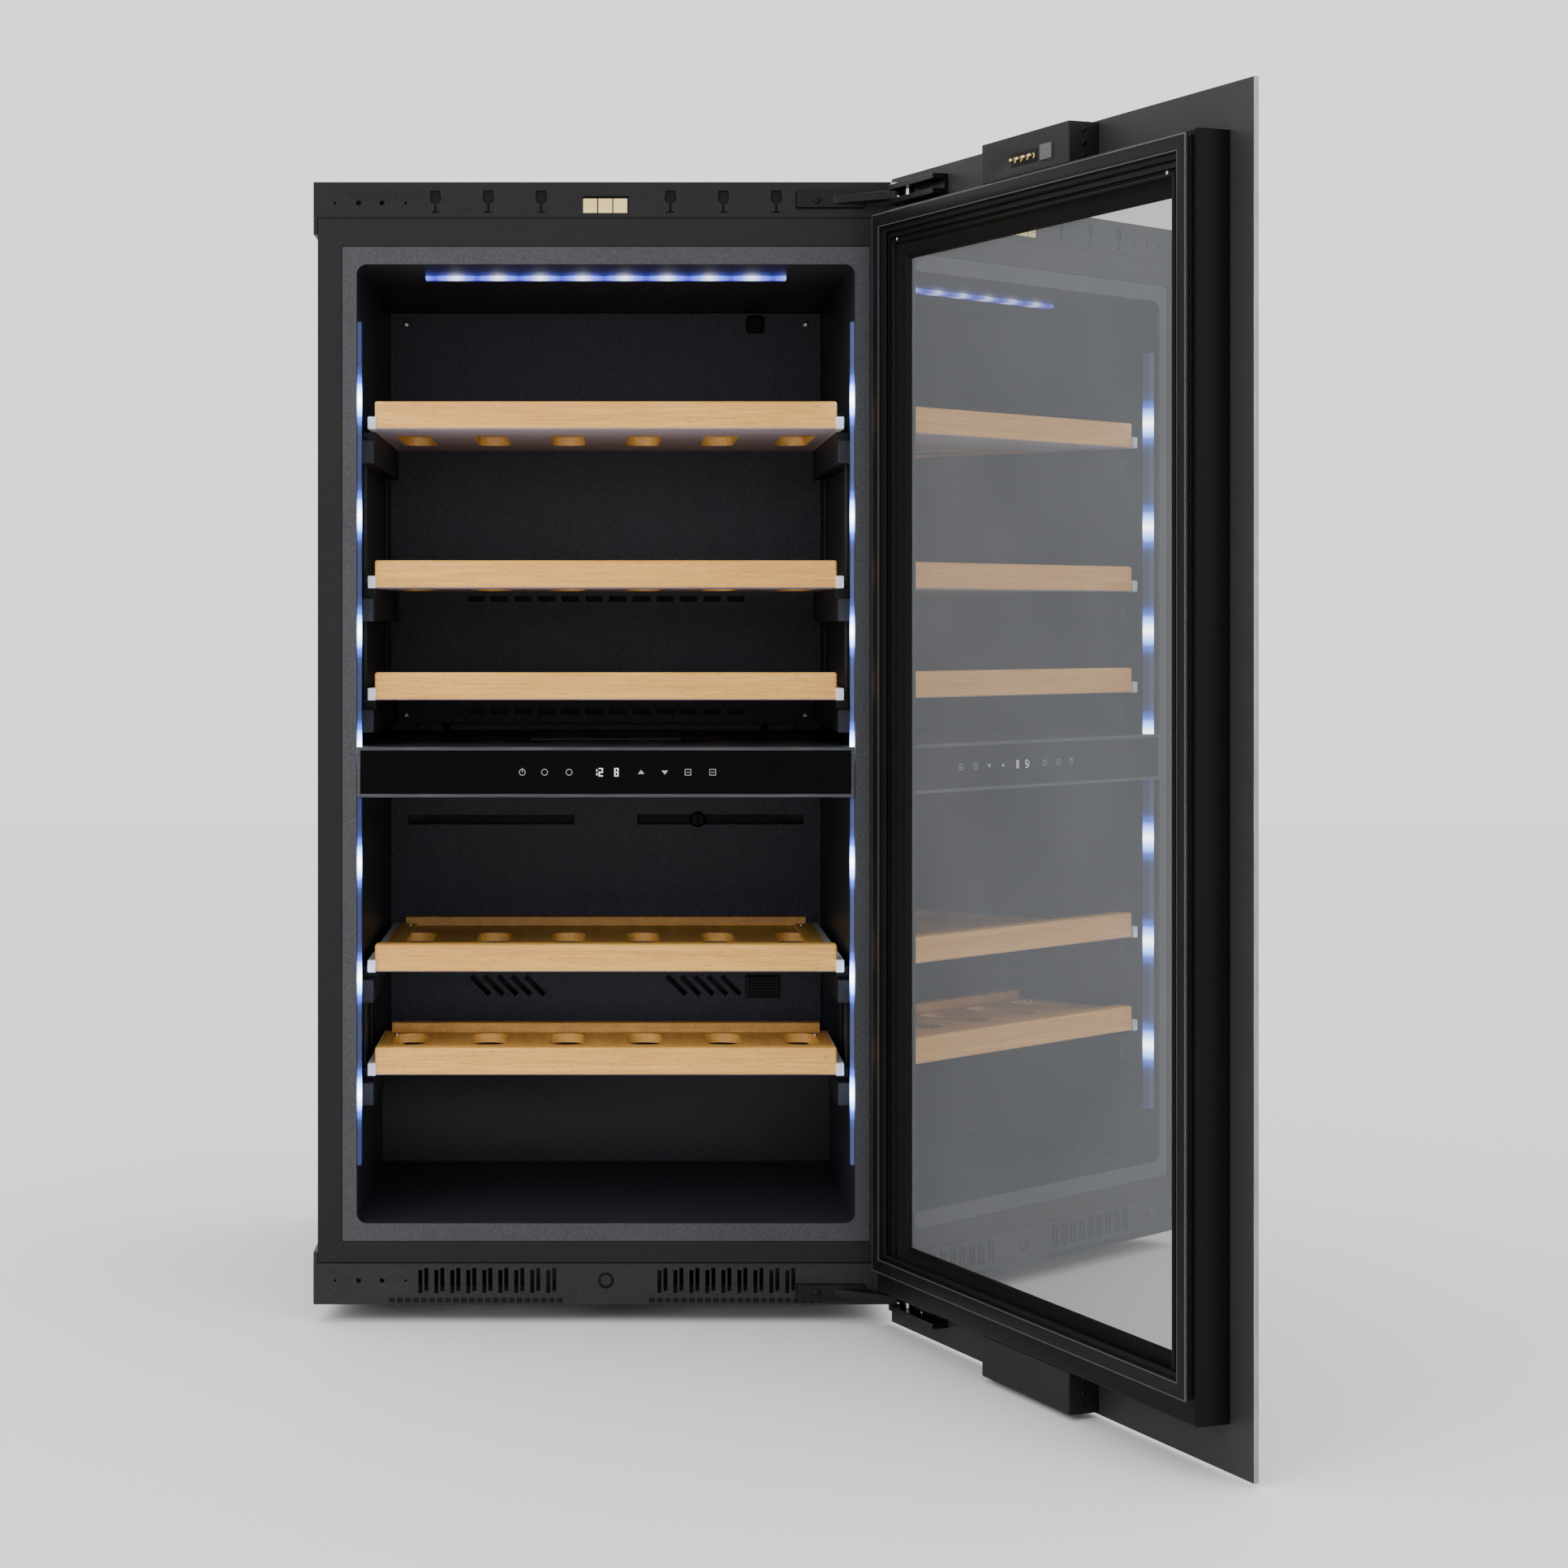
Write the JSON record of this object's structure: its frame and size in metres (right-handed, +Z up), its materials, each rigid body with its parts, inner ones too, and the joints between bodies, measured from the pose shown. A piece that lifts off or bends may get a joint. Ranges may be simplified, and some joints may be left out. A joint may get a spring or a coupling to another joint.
{
  "type": "built-in wine cooler",
  "caption": "Built-in two-zone wine cooler with a full glass door open to the right, sliding beech shelves, a glossy control bar and lit side columns",
  "frame": {"origin": "the middle of the base plinth's flat underside, on the floor under the middle of the body", "axes": "X to the right seen from the front, Y to the back, Z up; the front plane of the strips is at Y -0.2725"},
  "size_m": [0.7811, 1.0999, 1.087],
  "materials": {
    "case_paint": "satin",
    "zinc_sheet": "satin",
    "foam": "matte",
    "liner_plastic": "satin",
    "trim_plastic": "satin",
    "bar_trim": "satin",
    "bar_glass": "gloss",
    "circuit": "satin",
    "lamp_lens": "satin",
    "ceiling_lens": "satin",
    "gold_plate": "polished",
    "steel_pin": "satin",
    "hinge_steel": "satin",
    "aluminium_sheet": "satin",
    "compressor_paint": "gloss",
    "beech": "satin",
    "door_glass": "gloss",
    "frame_plastic": "satin",
    "gasket_rubber": "matte"
  },
  "bodies": {
    "cabinet": {"outer_case": "case_paint", "back_panel": "zinc_sheet", "base_plinth": "trim_plastic", "rear_grille": "zinc_sheet", "foam_left": "foam", "foam_right": "foam", "foam_top": "foam", "foam_bottom": "foam", "foam_bulkhead": "foam", "foam_room_roof": "foam", "foam_back": "foam", "foam_divider": "foam", "inner_liner": "liner_plastic", "front_frame": "case_paint", "top_trim": "trim_plastic", "contact_plate": "gold_plate", "bottom_grille": "trim_plastic", "control_housing": "bar_trim", "control_glass": "bar_glass", "control_board": "circuit", "lamp_left": "lamp_lens", "lamp_right": "lamp_lens", "ceiling_lamp": "ceiling_lens", "upper_duct": "liner_plastic", "lower_duct": "liner_plastic", "upper_evaporator": "aluminium_sheet", "lower_evaporator": "aluminium_sheet", "compressor": "compressor_paint", "condenser": "aluminium_sheet", "drip_tray": "trim_plastic", "power_inlet": "trim_plastic", "rack_upper_left": "liner_plastic", "rack_upper_right": "liner_plastic", "rack_lower_left": "liner_plastic", "rack_lower_right": "liner_plastic", "upper_hinge_base": "hinge_steel", "lower_hinge_base": "hinge_steel"},
    "door": {"upper_hinge_arm": "hinge_steel", "lower_hinge_arm": "hinge_steel", "door_panel": "door_glass", "door_frame": "frame_plastic", "glass_unit": "door_glass", "door_gasket": "gasket_rubber", "door_contact_block": "frame_plastic", "contact_pins": "gold_plate", "door_lower_block": "frame_plastic"},
    "shelf_1": {"shelf_1_front_board": "beech", "shelf_1_tray": "beech"},
    "shelf_2": {"shelf_2_front_board": "beech", "shelf_2_tray": "beech"},
    "shelf_3": {"shelf_3_front_board": "beech", "shelf_3_tray": "beech"},
    "shelf_4": {"shelf_4_front_board": "beech", "shelf_4_tray": "beech"},
    "shelf_5": {"shelf_5_front_board": "beech", "shelf_5_tray": "beech"},
    "plunger": {"opener_plunger": "steel_pin"},
    "upper_fan_wheel": {"upper_fan": "trim_plastic"},
    "lower_fan_wheel": {"lower_fan": "trim_plastic"},
    "condenser_fan_wheel": {"condenser_fan": "trim_plastic"}
  },
  "joints": [
    {"name": "door_swing", "type": "hinge", "parent": "cabinet", "child": "door", "pos_m": [0.2725, -0.304, 0], "axis": [0, 0, 1], "range_deg": [-112.5, 0]},
    {"name": "shelf_1_slide", "type": "slide", "parent": "cabinet", "child": "shelf_1", "axis": [0, -1, 0], "range_m": [0, 0.3]},
    {"name": "shelf_2_slide", "type": "slide", "parent": "cabinet", "child": "shelf_2", "axis": [0, -1, 0], "range_m": [0, 0.3]},
    {"name": "shelf_3_slide", "type": "slide", "parent": "cabinet", "child": "shelf_3", "axis": [0, -1, 0], "range_m": [0, 0.3]},
    {"name": "shelf_4_slide", "type": "slide", "parent": "cabinet", "child": "shelf_4", "axis": [0, -1, 0], "range_m": [0, 0.3]},
    {"name": "shelf_5_slide", "type": "slide", "parent": "cabinet", "child": "shelf_5", "axis": [0, -1, 0], "range_m": [0, 0.12]},
    {"name": "plunger_push", "type": "slide", "parent": "cabinet", "child": "plunger", "axis": [0, -1, 0], "range_m": [0, 0.008]},
    {"name": "upper_fan_spin", "type": "hinge", "parent": "cabinet", "child": "upper_fan_wheel", "pos_m": [0, 0.1969, 0.638], "axis": [0, 1, 0], "continuous": true},
    {"name": "lower_fan_spin", "type": "hinge", "parent": "cabinet", "child": "lower_fan_wheel", "pos_m": [0, 0.1969, 0.2756], "axis": [0, 1, 0], "continuous": true},
    {"name": "condenser_fan_spin", "type": "hinge", "parent": "cabinet", "child": "condenser_fan_wheel", "pos_m": [0.1185, 0.1965, 0.0743], "axis": [0, 1, 0], "continuous": true}
  ]
}
